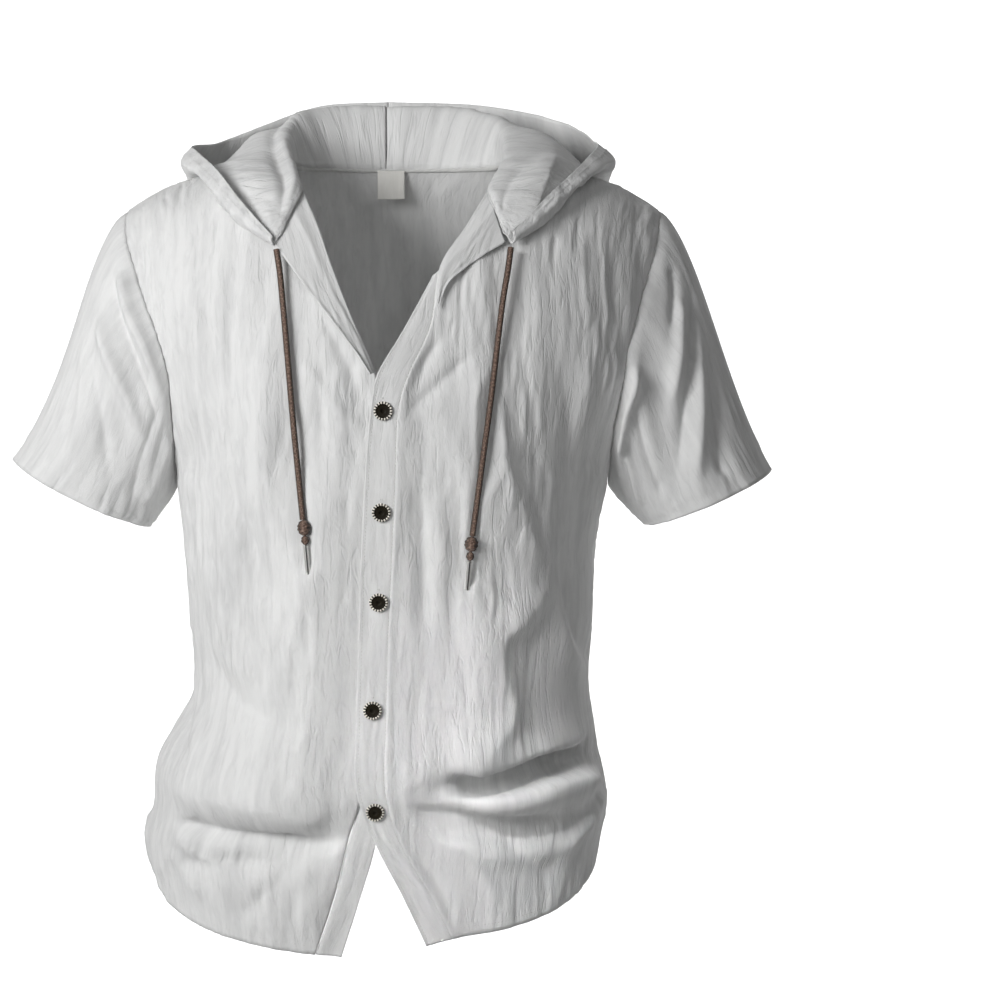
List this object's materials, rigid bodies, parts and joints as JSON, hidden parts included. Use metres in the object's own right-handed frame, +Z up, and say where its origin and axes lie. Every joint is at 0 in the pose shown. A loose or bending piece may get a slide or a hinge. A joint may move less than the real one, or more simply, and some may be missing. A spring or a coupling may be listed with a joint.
{
  "type": "hooded shirt",
  "caption": "Pale crinkled cotton short-sleeved shirt with a hood lying down on the back, buttoned placket, turned-out neck, and brown drawcord ends with metal tips, filled out as worn.",
  "frame": {"origin": "the middle of the neck base at shoulder level, where the shirt hangs on its wearer", "axes": "+X wearer's left, -Y the front, +Z up along the body"},
  "size_m": [0.717, 0.3232, 0.7791],
  "materials": {
    "cloth": "crinkled matt cotton",
    "tape": "plain cotton tape",
    "label": "smooth bare label",
    "button": "dark polished with a pale ticked rim",
    "cord": "round braided cord",
    "tip": "polished tube"
  },
  "bodies": {
    "root": {"front_right": "cloth", "front_left": "cloth", "back": "cloth", "sleeve_right": "cloth", "sleeve_left": "cloth", "button_stand": "cloth", "placket": "cloth", "facing_right": "cloth", "facing_left": "cloth", "hood_right": "cloth", "hood_left": "cloth", "neck_tape": "tape", "label": "label", "button_1": "button", "button_2": "button", "button_3": "button", "button_4": "button", "button_5": "button", "cord_right": "cord", "cord_left": "cord", "knot_right": "cord", "knot_left": "cord", "stop_knot_right": "cord", "stop_knot_left": "cord", "tip_right": "tip", "tip_left": "tip"}
  },
  "joints": []
}
